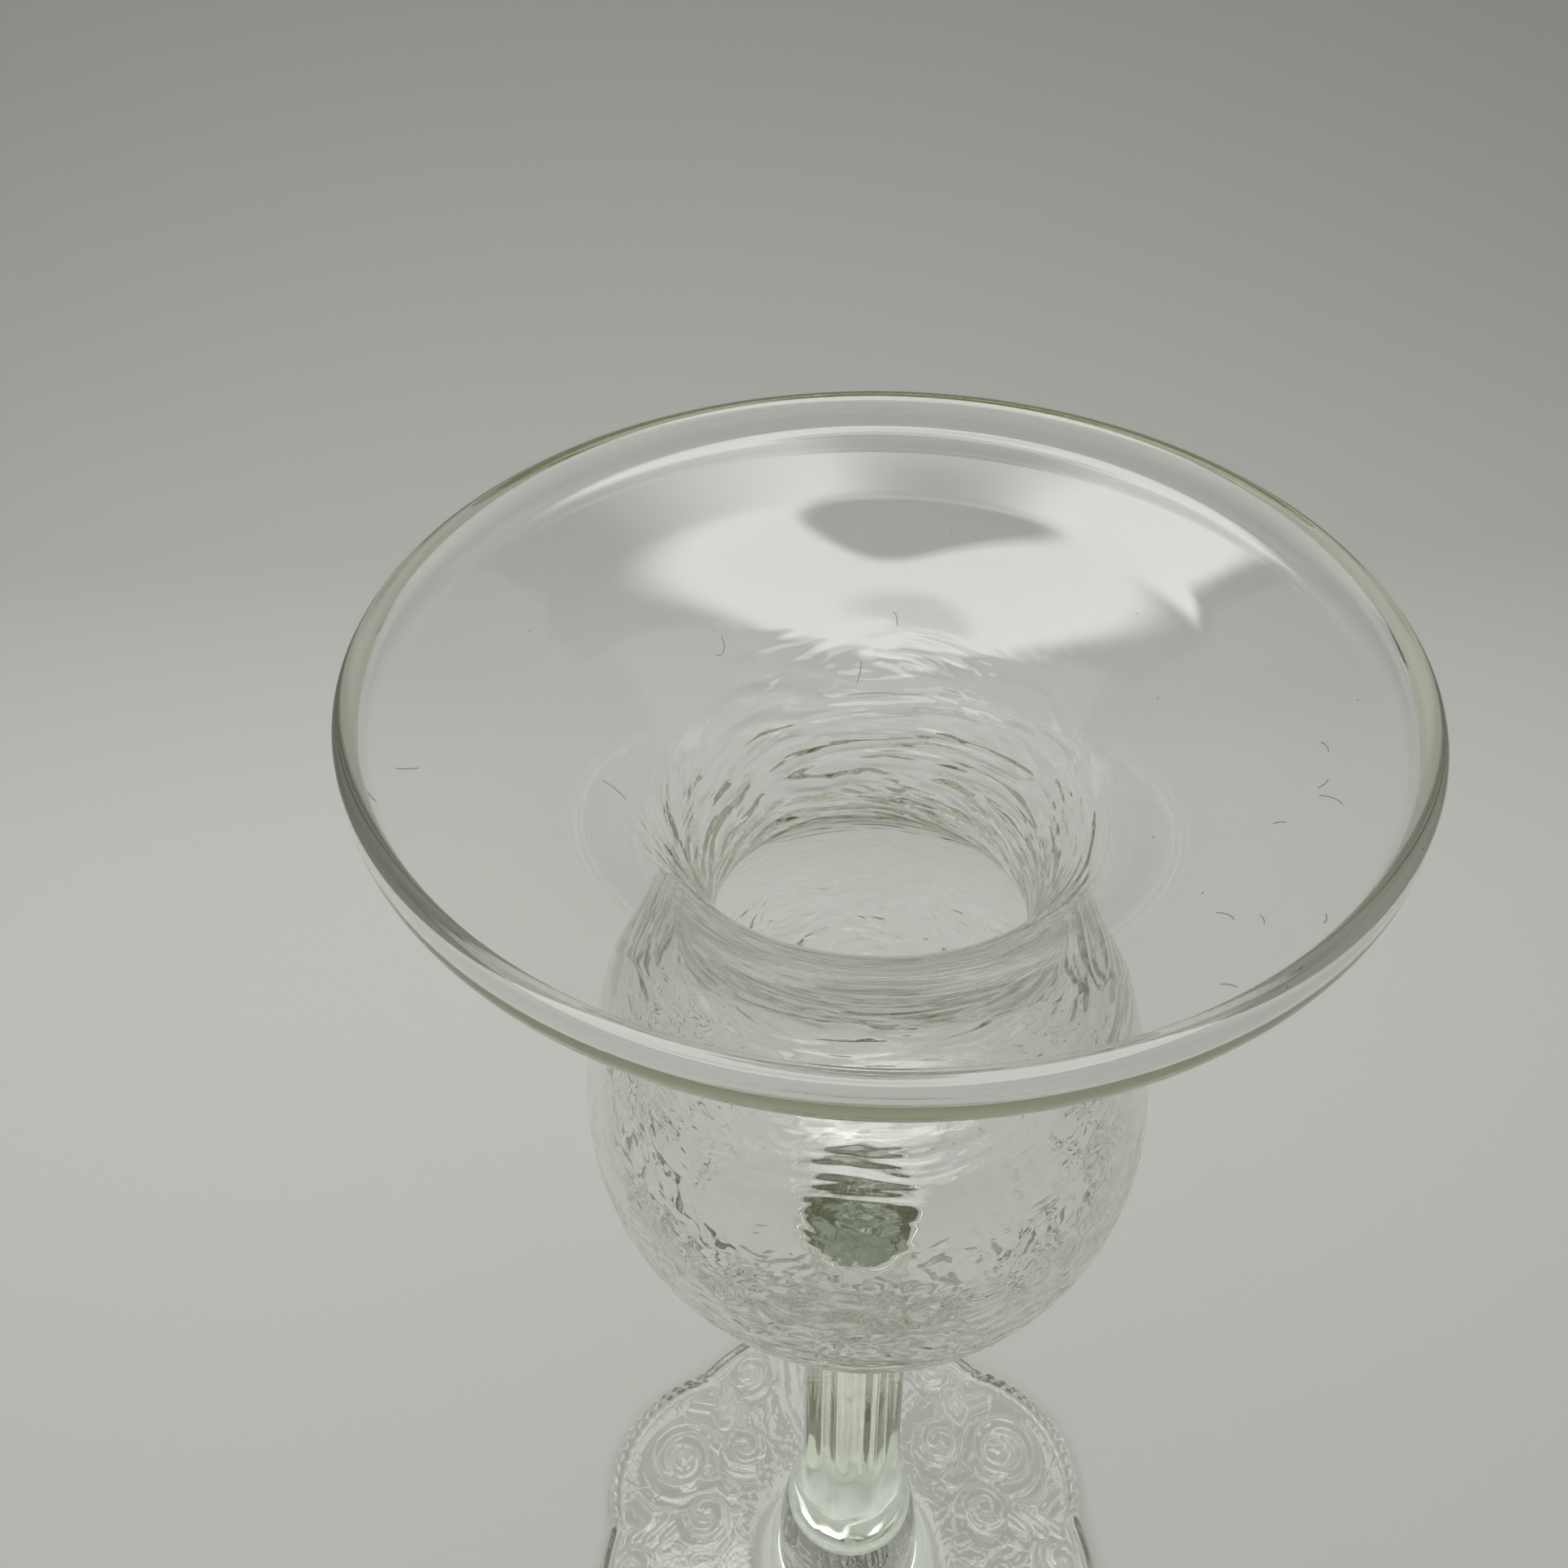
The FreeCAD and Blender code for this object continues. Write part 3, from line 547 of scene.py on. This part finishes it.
stretched = ripple_nodes.new("ShaderNodeVectorMath")
stretched.operation = "MULTIPLY"
ripple_links.new(ripple_in.outputs["Vector"], stretched.inputs[0])
ripple_links.new(stretch.outputs["Vector"], stretched.inputs[1])
marks = ripple_nodes.new("ShaderNodeTexNoise")
marks.inputs["Scale"].default_value = 1.0
marks.inputs["Detail"].default_value = 1.0
marks.inputs["Distortion"].default_value = CURL
ripple_links.new(stretched.outputs["Vector"], marks.inputs["Vector"])
amount = 0.0
for label, (middle, reach) in BELTS.items():
    mask = belt(ripple_nodes, ripple_links, level, middle, reach)
    mask = math_node(ripple_nodes, ripple_links, "MULTIPLY", mask, ripple_in.outputs[label])
    amount = math_node(ripple_nodes, ripple_links, "ADD", mask, amount)
tooled = math_node(ripple_nodes, ripple_links, "MULTIPLY", amount, marks.outputs["Fac"])
total = math_node(ripple_nodes, ripple_links, "ADD", broad.outputs["Fac"], tooled)
ripple_links.new(total, ripple_out.inputs["Height"])
print("group", ripple.name, "with", len(ripple_nodes), "nodes")


# %% [markdown]
# ## Clear glass
# The real glass is clear with a slight green cast that only shows where light runs a long way inside,
# as round the lip and in the stem. So the face stays colourless and the tint is an absorption inside.
#
# Two more things need the path that light has taken. In the rolled lip light is turned back inside the
# glass so often that a renderer gives up and shows black. So light turned back more than twice, or met
# by more than five faces, goes straight on instead, in the lip's own tone. And light that falls on the
# table has to come through the glass: shadow rays pass it straight, with a little tint, and so does
# light that has met the table. The foot is left out of that last rule. It bends such light, which draws
# its pattern on the table, and its deeper shade makes up for light that gets there both ways.

# %% Values of the glass
INDEX = 1.52
INNER_COLOUR = (0.15, 0.33, 0.12, 1)
INNER_DENSITY = 8.0
LIP_TONE = (0.84, 0.835, 0.76, 1)
BOWL_SHADE = (0.955, 0.96, 0.95, 1)
FOOT_SHADE = (0.56, 0.565, 0.555, 1)
TURNED_BACK = 2.5
LONG_WAY = 5.5
FOOT_TOP = 0.008
WAVE_HEIGHT = 0.00003
WAVES = {"Scale": 70.0, "Neck marks": 22.0, "Bulb marks": 23.0, "Foot marks": 2.5}


# %% Clear glass material
def wavy_normal(nodes, links, place):
    """Normal of a face with the ripple on it."""
    waves = nodes.new("ShaderNodeGroup")
    waves.node_tree = ripple
    for label, value in WAVES.items():
        waves.inputs[label].default_value = value
    links.new(place.outputs["Object"], waves.inputs["Vector"])
    bump = nodes.new("ShaderNodeBump")
    bump.inputs["Strength"].default_value = 1.0
    bump.inputs["Distance"].default_value = WAVE_HEIGHT
    links.new(waves.outputs["Height"], bump.inputs["Height"])
    return bump.outputs["Normal"]


def shade_tint(nodes, links, above_foot):
    """Colour that light keeps as it passes a face straight, deeper in the foot."""
    tint = nodes.new("ShaderNodeMix")
    tint.data_type = "RGBA"
    tint.inputs["A"].default_value = FOOT_SHADE
    tint.inputs["B"].default_value = BOWL_SHADE
    links.new(above_foot, tint.inputs["Factor"])
    return tint.outputs["Result"]


def mix_shaders(nodes, links, share, first, second):
    """The first shader where share is nought, the second where it is one."""
    mix = nodes.new("ShaderNodeMixShader")
    links.new(share, mix.inputs["Fac"])
    links.new(first.outputs[0], mix.inputs[1])
    links.new(second.outputs[0], mix.inputs[2])
    return mix


def glass_material():
    """Clear glass with a soft ripple and a faint green depth."""
    material = bpy.data.materials.new("clear glass")
    material.use_nodes = True
    nodes, links = material.node_tree.nodes, material.node_tree.links
    shader = nodes["Principled BSDF"]
    shader.inputs["Base Color"].default_value = (1, 1, 1, 1)
    shader.inputs["Roughness"].default_value = 0.0
    shader.inputs["IOR"].default_value = INDEX
    shader.inputs["Transmission Weight"].default_value = 1.0
    place = nodes.new("ShaderNodeTexCoord")
    links.new(wavy_normal(nodes, links, place), shader.inputs["Normal"])
    height = nodes.new("ShaderNodeSeparateXYZ")
    links.new(place.outputs["Object"], height.inputs["Vector"])
    above_foot = math_node(nodes, links, "GREATER_THAN", height.outputs["Z"], FOOT_TOP)
    kind = nodes.new("ShaderNodeLightPath")
    caught = math_node(nodes, links, "GREATER_THAN", kind.outputs["Glossy Depth"], TURNED_BACK)
    long_way = math_node(nodes, links, "GREATER_THAN", kind.outputs["Ray Depth"], LONG_WAY)
    stuck = math_node(nodes, links, "MAXIMUM", caught, long_way)
    onward = nodes.new("ShaderNodeBsdfTransparent")
    onward.inputs["Color"].default_value = LIP_TONE
    bent = mix_shaders(nodes, links, stuck, shader, onward)
    from_table = math_node(nodes, links, "GREATER_THAN", kind.outputs["Diffuse Depth"], 0.5)
    from_table = math_node(nodes, links, "MULTIPLY", from_table, above_foot)
    straight = math_node(nodes, links, "MAXIMUM", kind.outputs["Is Shadow Ray"], from_table)
    through = nodes.new("ShaderNodeBsdfTransparent")
    links.new(shade_tint(nodes, links, above_foot), through.inputs["Color"])
    mix = mix_shaders(nodes, links, straight, bent, through)
    links.new(mix.outputs["Shader"], nodes["Material Output"].inputs["Surface"])
    depth = nodes.new("ShaderNodeVolumeAbsorption")
    depth.inputs["Color"].default_value = INNER_COLOUR
    depth.inputs["Density"].default_value = INNER_DENSITY
    links.new(depth.outputs["Volume"], nodes["Material Output"].inputs["Volume"])
    return material


glass.data.materials.append(glass_material())
print("material", glass.data.materials[0].name)

# %% [markdown]
# ## Lint
# The glass has stood about: a few grey fibres and specks of dust lie on the slope of the flare. A fibre
# is a thin tube that bends as it runs along the glass. Each is placed by its direction round the glass
# and its distance from the axis, and the flare's own section gives its height.

# %% Lint
# A fibre is written as direction, distance, heading, length and bend: degrees and millimetres.
FIBRE_RADIUS = 0.02
SPECK_RADIUS = 0.055
GRAIN_RISE = 0.4
GRAIN = [(1, 0, 0), (0, 1, 0), (-1, 0, 0), (0, -1, 0), (0, 0, 0.6), (0, 0, -0.3)]
LINT_COLOUR = (0.1, 0.1, 0.095, 1)
FIBRES = [(-14, 22.7, 70, 0.9, 60), (-21, 22.3, 20, 0.8, 40), (-24, 23.5, 100, 1.3, 60),
          (-28, 21.3, 150, 0.6, 50), (-166, 24.9, 10, 1.1, 20), (-160, 26.0, 160, 0.8, 20),
          (131, 13.7, 20, 1.3, 120), (92, 11.4, 50, 0.8, 40), (81, 13.5, 70, 0.7, 90),
          (-48, 22.0, 90, 1.0, 90), (-47, 23.2, 70, 0.7, 40), (-44, 25.2, 40, 0.7, 60),
          (-57, 24.9, 120, 0.7, 70), (-170, 13.8, 140, 1.2, 50)]
SPECKS = [(-5, 24.5), (-144, 25.7), (-45, 19.8), (79, 19.0), (72, 18.4), (124, 19.0), (30, 18.0),
          (-30, 15.5), (160, 20.5), (-120, 21.0), (10, 16.0)]
slope = inside[inside[:, 1] > FLARE_CENTRE[1] + 1]


def on_flare(x, y, above):
    """Point on the flare's inside, or a little above it."""
    return np.array([x, y, np.interp(math.hypot(x, y), slope[:, 0], slope[:, 1]) + above])


def fibre(direction, distance, heading, length, bend, steps=10, sides=5):
    """Points and faces of a bent thread that lies on the flare."""
    x = distance * math.cos(math.radians(direction))
    y = distance * math.sin(math.radians(direction))
    rings = []
    for i in range(steps + 1):
        way = math.radians(heading + bend * i / steps)
        centre = on_flare(x, y, FIBRE_RADIUS)
        for side in range(sides):
            turn = 2 * math.pi * side / sides
            across = np.array([-math.sin(way), math.cos(way), 0]) * math.cos(turn)
            rings.append(centre + FIBRE_RADIUS * (across + np.array([0, 0, math.sin(turn)])))
        x += length / steps * math.cos(way)
        y += length / steps * math.sin(way)
    faces = []
    for i in range(steps):
        for j in range(sides):
            here, beside = i * sides + j, i * sides + (j + 1) % sides
            faces.append((here, beside, beside + sides, here + sides))
    return rings, faces


def speck(direction, distance):
    """Points and faces of an eight-sided grain that lies on the flare."""
    x = distance * math.cos(math.radians(direction))
    y = distance * math.sin(math.radians(direction))
    middle = on_flare(x, y, SPECK_RADIUS * GRAIN_RISE)
    rows = [middle + SPECK_RADIUS * np.array(corner) for corner in GRAIN]
    faces = []
    for i in range(4):
        faces.append((i, (i + 1) % 4, 4))
        faces.append(((i + 1) % 4, i, 5))
    return rows, faces


lint_points, lint_faces = [], []
for rows, row_faces in [fibre(*row) for row in FIBRES] + [speck(*row) for row in SPECKS]:
    lint_faces += [tuple(len(lint_points) + corner for corner in face) for face in row_faces]
    lint_points += rows
lint = make_piece("lint", lint_points, lint_faces)
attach(lint, "root")
lint_grey = bpy.data.materials.new("lint")
lint_grey.use_nodes = True
lint_shader = lint_grey.node_tree.nodes["Principled BSDF"]
lint_shader.inputs["Base Color"].default_value = LINT_COLOUR
lint_shader.inputs["Roughness"].default_value = 1.0
lint.data.materials.append(lint_grey)
print("lint", len(FIBRES), "fibres and", len(SPECKS), "specks")

# %% [markdown]
# ## Floor and backdrop
# The glass stands on pale matt sheeting that curves up behind it. One mesh makes both: a section that
# runs flat, bends and climbs, drawn out sideways. It lies a tenth of a millimetre below the foot,
# because two faces in one plane fight each other and come out dark.

# %% Floor and backdrop
FLOOR_REACH = 0.7
FLOOR_BACK = 0.20
BEND = 0.10
BEND_STEPS = 24
WALL_TOP = 0.6
AIR = 0.0001
section = [(-FLOOR_REACH, 0.0), (FLOOR_BACK, 0.0)]
for step in range(1, BEND_STEPS + 1):
    angle = math.radians(90 * step / BEND_STEPS)
    section.append((FLOOR_BACK + BEND * math.sin(angle), BEND * (1 - math.cos(angle))))
section.append((FLOOR_BACK + BEND, WALL_TOP))
sweep_points = [(x / MM, y / MM, (z - AIR) / MM) for y, z in section for x in (-FLOOR_REACH, FLOOR_REACH)]
sweep_faces = [(2 * i, 2 * i + 1, 2 * i + 3, 2 * i + 2) for i in range(len(section) - 1)]
floor = make_piece("floor", sweep_points, sweep_faces)

# %% Sheeting
# A tone is written with its place between the front and the back, from nought to one.
TONE_FRONT = -0.10
TONE_BACK = 0.35
SHEET_CAST = (0.985, 1.0, 0.955)
# The tones are the sheeting's pale colour with painted light in it. They are lightest where the roof light
# falls most, a little way behind the glass, with painted shade towards the front and up the backdrop.
PAINTED_LIGHT_TONES = [(0.0, 0.345), (0.2, 0.365), (0.34, 0.46), (0.49, 0.53), (0.68, 0.49), (0.86, 0.35), (1.0, 0.32)]


def sheeting():
    """Pale matt sheeting with painted light: its colour is lightest a little way behind the glass and
    darker towards the front and up the backdrop.
    """
    material = bpy.data.materials.new("pale sheeting with painted light")
    material.use_nodes = True
    nodes, links = material.node_tree.nodes, material.node_tree.links
    shader = nodes["Principled BSDF"]
    shader.inputs["Roughness"].default_value = 0.75
    place = nodes.new("ShaderNodeTexCoord")
    apart = nodes.new("ShaderNodeSeparateXYZ")
    links.new(place.outputs["Object"], apart.inputs["Vector"])
    depth = nodes.new("ShaderNodeMapRange")
    depth.inputs["From Min"].default_value = TONE_FRONT
    depth.inputs["From Max"].default_value = TONE_BACK
    links.new(apart.outputs["Y"], depth.inputs["Value"])
    ramp = nodes.new("ShaderNodeValToRGB")
    ramp.color_ramp.interpolation = "B_SPLINE"
    while len(ramp.color_ramp.elements) < len(PAINTED_LIGHT_TONES):
        ramp.color_ramp.elements.new(0.5)
    for stop, (share, tone) in zip(ramp.color_ramp.elements, PAINTED_LIGHT_TONES):
        stop.position = share
        stop.color = (*(tone * part for part in SHEET_CAST), 1)
    links.new(depth.outputs["Result"], ramp.inputs["Fac"])
    links.new(ramp.outputs["Color"], shader.inputs["Base Color"])
    return material


floor.data.materials.append(sheeting())
print("floor and backdrop", len(section), "lines")

# %% [markdown]
# ## Light
# A small light tent has a sheet of light in its roof with an oval opening, and the flare mirrors it as
# a bright patch with a dark oval. So the lamp is a real sheet: one oval is lit, a corner is added to it,
# and the opening and a softer bar are taken away. Two rows of small diodes show as dots beside them,
# and the world gives an even fill from the tent's walls, dark and warm at the table's level.

# %% Roof light
ROOF = 0.40
SHEET_X = (-0.33, 0.24)
SHEET_Y = (-0.43, 0.23)
SHEET_MIDDLE = (-0.045, -0.115)
SHEET_HALF = (0.27, 0.30)
CORNER_SIDE = 0.022
CORNER_BACK = 0.214
HOLE_MIDDLE = (-0.005, 0.055)
HOLE_HALF = (0.046, 0.105)
BAR_MIDDLE = (-0.08, -0.17)
BAR_HALF = (0.13, 0.06)
BAR_DEPTH = 0.45
CORNER_FRONT = (0.12, 0.15)
CORNER_FAR = (-0.08, -0.05)
LAMP_COLOUR = (1.0, 0.99, 0.96, 1)
LAMP_STRENGTH = 3.7
RIM_SOFT = (1.08, 0.85)
HOLE_SOFT = (0.82, 1.03)
BAR_SOFT = (0.5, 1.3)
SIDE_SOFT = 0.003
BACK_SOFT = 0.006


def flat_mesh(name, corners):
    """Sheet of four-cornered faces from rows of corners in metres."""
    points = [(x / MM, y / MM, z / MM) for face in corners for x, y, z in face]
    faces = [tuple(range(4 * i, 4 * i + 4)) for i in range(len(corners))]
    made = make_piece(name, points, faces)
    made.visible_camera = False
    return made


def oval(nodes, links, place, middle, half):
    """Distance from the middle of an oval, one at its edge."""
    squares = []
    for axis in (0, 1):
        away = math_node(nodes, links, "SUBTRACT", place.outputs[axis], middle[axis])
        share = math_node(nodes, links, "DIVIDE", away, half[axis])
        share = math_node(nodes, links, "ABSOLUTE", share, 0.0)
        squares.append(math_node(nodes, links, "POWER", share, 2.0))
    return math_node(nodes, links, "SQRT", math_node(nodes, links, "ADD", *squares), 0.0)


def glowing(name, colour, strength):
    """Material that only gives light."""
    material = bpy.data.materials.new(name)
    material.use_nodes = True
    nodes, links = material.node_tree.nodes, material.node_tree.links
    nodes.remove(nodes["Principled BSDF"])
    light = nodes.new("ShaderNodeEmission")
    light.inputs["Color"].default_value = colour
    light.inputs["Strength"].default_value = strength
    links.new(light.outputs["Emission"], nodes["Material Output"].inputs["Surface"])
    return material, light


# %% Pattern of the roof light
def lamp_sheet():
    """Sheet of light with soft edges and a dark oval where the opening is."""
    material, light = glowing("lamp sheet", LAMP_COLOUR, LAMP_STRENGTH)
    nodes, links = material.node_tree.nodes, material.node_tree.links
    place = nodes.new("ShaderNodeSeparateXYZ")
    links.new(nodes.new("ShaderNodeTexCoord").outputs["Object"], place.inputs["Vector"])
    rim = soft_step(nodes, links, oval(nodes, links, place, SHEET_MIDDLE, SHEET_HALF), *RIM_SOFT)
    side = soft_step(nodes, links, place.outputs["X"], CORNER_SIDE + SIDE_SOFT, CORNER_SIDE - SIDE_SOFT)
    back = soft_step(nodes, links, place.outputs["Y"], CORNER_BACK + BACK_SOFT, CORNER_BACK - BACK_SOFT)
    front = soft_step(nodes, links, place.outputs["Y"], *CORNER_FRONT)
    far = soft_step(nodes, links, place.outputs["X"], *CORNER_FAR)
    corner = math_node(nodes, links, "MULTIPLY", math_node(nodes, links, "MULTIPLY", side, back),
                       math_node(nodes, links, "MULTIPLY", front, far))
    sheet = math_node(nodes, links, "MAXIMUM", rim, corner)
    hole = soft_step(nodes, links, oval(nodes, links, place, HOLE_MIDDLE, HOLE_HALF), *HOLE_SOFT)
    bar = soft_step(nodes, links, oval(nodes, links, place, BAR_MIDDLE, BAR_HALF), *BAR_SOFT)
    kept = math_node(nodes, links, "MULTIPLY", bar, BAR_DEPTH)
    kept = math_node(nodes, links, "ADD", kept, 1 - BAR_DEPTH)
    lit = math_node(nodes, links, "MULTIPLY", math_node(nodes, links, "MULTIPLY", sheet, hole), kept)
    shade = nodes.new("ShaderNodeMix")
    shade.data_type = "RGBA"
    shade.inputs["A"].default_value = (0.0, 0.0, 0.0, 1)
    shade.inputs["B"].default_value = LAMP_COLOUR
    links.new(lit, shade.inputs["Factor"])
    links.new(shade.outputs["Result"], light.inputs["Color"])
    return material


def square(x, y, z):
    """Four corners of a level face between two values of x and two of y."""
    return [(x[0], y[0], z), (x[1], y[0], z), (x[1], y[1], z), (x[0], y[1], z)]


roof_light = flat_mesh("roof_light", [square(SHEET_X, SHEET_Y, ROOF)])
roof_light.data.materials.append(lamp_sheet())

# %% Rows of diodes
DIODE = 0.0004
DIODE_LEVEL = ROOF - 0.002
DIODE_STRENGTH = 30.0
DIODE_LINES = [[(0.0305, 0.172), (0.0215, 0.1605), (0.0095, 0.161)],
               [(0.0285, 0.183), (0.0235, 0.168), (0.006, 0.166)]]
DIODES_IN_LINE = 13


def along(line, share):
    """Point at a share of a line of three points, halfway at the middle one."""
    first, middle, last = (np.array(point) for point in line)
    if share < 0.5:
        return first + (middle - first) * share * 2
    return middle + (last - middle) * (share * 2 - 1)


diode_places = []
for line in DIODE_LINES:
    diode_places += [along(line, i / (DIODES_IN_LINE - 1)) for i in range(DIODES_IN_LINE)]
diodes = flat_mesh("diodes", [square((x - DIODE, x + DIODE), (y - DIODE, y + DIODE), DIODE_LEVEL)
                              for x, y in diode_places])
diodes.data.materials.append(glowing("diode", (1.0, 1.0, 1.0, 1), DIODE_STRENGTH)[0])
print("roof light with", len(diode_places), "diodes")

# %% Walls of the tent
# A wall's tone is written with its place between straight down and straight up, from nought to one.
WALL_TONES = [(0.40, (0.10, 0.10, 0.085)), (0.50, (0.24, 0.24, 0.19)), (0.62, (0.33, 0.34, 0.325)),
              (0.80, (0.40, 0.41, 0.395))]
world = bpy.data.worlds.new("tent walls")
bpy.context.scene.world = world
world.use_nodes = True
world_nodes, world_links = world.node_tree.nodes, world.node_tree.links
view = world_nodes.new("ShaderNodeSeparateXYZ")
world_links.new(world_nodes.new("ShaderNodeTexCoord").outputs["Generated"], view.inputs["Vector"])
climb = world_nodes.new("ShaderNodeMapRange")
climb.inputs["From Min"].default_value = -1.0
world_links.new(view.outputs["Z"], climb.inputs["Value"])
walls = world_nodes.new("ShaderNodeValToRGB")
walls.color_ramp.interpolation = "EASE"
while len(walls.color_ramp.elements) < len(WALL_TONES):
    walls.color_ramp.elements.new(0.5)
for stop, (share, tone) in zip(walls.color_ramp.elements, WALL_TONES):
    stop.position = share
    stop.color = (*tone, 1)
world_links.new(climb.outputs["Result"], walls.inputs["Fac"])
world_links.new(walls.outputs["Color"], world_nodes["Background"].inputs["Color"])
world_nodes["Background"].inputs["Strength"].default_value = 1.0

# %% [markdown]
# ## Camera
# The camera stands in front of the glass and looks down at it by 42 degrees, with a slight roll. Its
# place came from the outlines of the rim and the foot.

# %% Camera
PITCH = math.radians(42.34)
ROLL = -0.0208
CAMERA_PLACE = (-0.00507, -0.05907, 0.1701)
LENS = 33.02
SENSOR = 36
NEAREST = 0.01
forward = Vector((0, math.cos(PITCH), -math.sin(PITCH)))
right = Vector((1, 0, 0))
up = right.cross(forward)
rolled_right = math.cos(ROLL) * right + math.sin(ROLL) * up
rolled_up = -math.sin(ROLL) * right + math.cos(ROLL) * up
camera_data = bpy.data.cameras.new("camera")
camera_data.lens = LENS
camera_data.sensor_width = SENSOR
camera_data.clip_start = NEAREST
camera = bpy.data.objects.new("camera", camera_data)
bpy.context.scene.collection.objects.link(camera)
axes = Matrix((rolled_right, rolled_up, -forward)).transposed().to_4x4()
camera.matrix_world = Matrix.Translation(CAMERA_PLACE) @ axes
bpy.context.scene.camera = camera
bpy.context.scene.view_settings.view_transform = "Standard"
